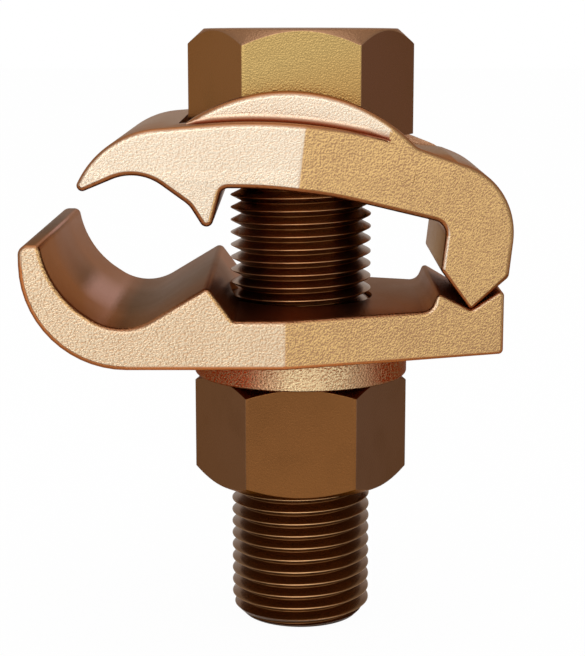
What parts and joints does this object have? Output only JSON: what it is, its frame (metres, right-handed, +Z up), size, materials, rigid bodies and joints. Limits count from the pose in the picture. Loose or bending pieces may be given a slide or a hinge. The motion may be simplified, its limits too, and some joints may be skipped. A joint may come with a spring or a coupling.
{
  "type": "grounding connector",
  "caption": "Bolted ground clamp: cast jaws rock on a fulcrum and close on a conductor in a groove as the nut draws the bolt down.",
  "frame": {"origin": "centre of the stud's end face, on which the connector stands", "axes": "+Z up the bolt towards its head, +X towards the fulcrum, +Y along the conductor"},
  "size_m": [0.0525, 0.035, 0.0673],
  "materials": {
    "cast_bronze": "as cast, satin",
    "bolt_bronze": "machined, dark, satin"
  },
  "bodies": {
    "lower_jaw": {"lower_jaw": "cast_bronze"},
    "upper_jaw": {"upper_jaw": "cast_bronze"},
    "bolt": {"bolt": "bolt_bronze"},
    "nut": {"nut": "bolt_bronze"}
  },
  "joints": [
    {"name": "bolt_slide", "type": "slide", "parent": "lower_jaw", "child": "bolt", "axis": [0, 0, 1], "range_m": [-0.0026, 0]},
    {"name": "nut_turn", "type": "hinge", "parent": "lower_jaw", "child": "nut", "pos_m": [0, 0, 0.0224], "axis": [0, 0, 1], "range_deg": [0, 662.2]},
    {"name": "jaw_swing", "type": "hinge", "parent": "lower_jaw", "child": "upper_jaw", "pos_m": [0.01845, 0, 0.03785], "axis": [0, 1, 0], "range_deg": [-8.5, 0]}
  ],
  "couplings": [
    {"joint": "nut_turn", "follows": "bolt_slide", "rad_per_m": -4452.7},
    {"joint": "jaw_swing", "follows": "bolt_slide", "rad_per_m": 57.155}
  ]
}
